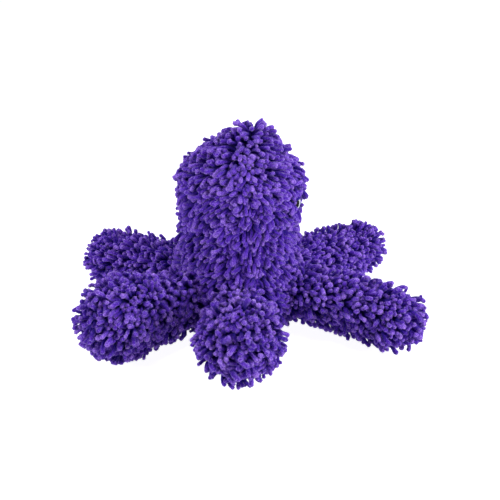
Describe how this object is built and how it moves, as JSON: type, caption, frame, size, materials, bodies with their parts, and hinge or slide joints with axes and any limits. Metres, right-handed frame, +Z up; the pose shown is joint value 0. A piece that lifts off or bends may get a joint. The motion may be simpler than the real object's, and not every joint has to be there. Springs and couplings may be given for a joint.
{
  "type": "octopus dog toy",
  "caption": "Plush octopus toy for dogs: a stuffed head on a flat base with stuffed arms that lie on the floor, covered in chenille pile, with a squeaker inside.",
  "frame": {"origin": "on the floor under the middle of the head, in the plane of the base panel's underside", "axes": "+Z up, the face looks along -Y, the toy's left arm points along +X"},
  "size_m": [0.2457, 0.2523, 0.149],
  "materials": {
    "chenille_pile": "deep matte chenille pile",
    "fibrefill": "loose polyester fibre",
    "pale_felt": "matte felt",
    "dark_felt": "matte felt",
    "soft_plastic": "semi-gloss soft moulded plastic"
  },
  "bodies": {
    "head": {"base_panel": "chenille_pile", "head_gore_left": "chenille_pile", "head_gore_back": "chenille_pile", "head_gore_right": "chenille_pile", "head_gore_face": "chenille_pile", "head_stuffing_lower": "fibrefill", "head_stuffing_upper": "fibrefill", "eye_white_left": "pale_felt", "eye_pupil_left": "dark_felt", "eye_white_right": "pale_felt", "eye_pupil_right": "dark_felt", "squeaker_base": "soft_plastic", "squeaker_reed": "soft_plastic", "squeaker_bellows": "soft_plastic"},
    "squeaker_top": {"squeaker_cap": "soft_plastic"},
    "arm_right": {"arm_right_top_cover": "chenille_pile", "arm_right_under_cover": "chenille_pile", "arm_right_stuffing": "fibrefill"},
    "arm_back_right": {"arm_back_right_top_cover": "chenille_pile", "arm_back_right_under_cover": "chenille_pile", "arm_back_right_stuffing": "fibrefill"},
    "arm_back_left": {"arm_back_left_top_cover": "chenille_pile", "arm_back_left_under_cover": "chenille_pile", "arm_back_left_stuffing": "fibrefill"},
    "arm_left": {"arm_left_top_cover": "chenille_pile", "arm_left_under_cover": "chenille_pile", "arm_left_stuffing": "fibrefill"},
    "arm_front_left": {"arm_front_left_top_cover": "chenille_pile", "arm_front_left_under_cover": "chenille_pile", "arm_front_left_stuffing": "fibrefill"},
    "arm_front_right": {"arm_front_right_top_cover": "chenille_pile", "arm_front_right_under_cover": "chenille_pile", "arm_front_right_stuffing": "fibrefill"}
  },
  "joints": [
    {"name": "arm_right_lift", "type": "hinge", "parent": "head", "child": "arm_right", "pos_m": [-0.0635, 0, 0.026], "axis": [0, 1, 0], "range_deg": [-45, 45], "stiffness_Nm_per_rad": 0.02},
    {"name": "arm_back_right_lift", "type": "hinge", "parent": "head", "child": "arm_back_right", "pos_m": [-0.03642, 0.05202, 0.026], "axis": [0.8192, 0.5736, 0], "range_deg": [-45, 45], "stiffness_Nm_per_rad": 0.02},
    {"name": "arm_back_left_lift", "type": "hinge", "parent": "head", "child": "arm_back_left", "pos_m": [0.02684, 0.05755, 0.026], "axis": [0.9063, -0.4226, 0], "range_deg": [-45, 45], "stiffness_Nm_per_rad": 0.02},
    {"name": "arm_left_lift", "type": "hinge", "parent": "head", "child": "arm_left", "pos_m": [0.0635, 0, 0.026], "axis": [0, -1, 0], "range_deg": [-45, 45], "stiffness_Nm_per_rad": 0.02},
    {"name": "arm_front_left_lift", "type": "hinge", "parent": "head", "child": "arm_front_left", "pos_m": [0.03458, -0.05326, 0.026], "axis": [-0.8387, -0.5446, 0], "range_deg": [-45, 45], "stiffness_Nm_per_rad": 0.02},
    {"name": "arm_front_right_lift", "type": "hinge", "parent": "head", "child": "arm_front_right", "pos_m": [-0.02172, -0.05967, 0.026], "axis": [-0.9397, 0.342, 0], "range_deg": [-45, 45], "stiffness_Nm_per_rad": 0.02},
    {"name": "squeaker_squeeze", "type": "slide", "parent": "head", "child": "squeaker_top", "axis": [0, 0, 1], "range_m": [-0.008, 0], "stiffness_N_per_m": 400, "deforming": ["squeaker_bellows"]}
  ]
}
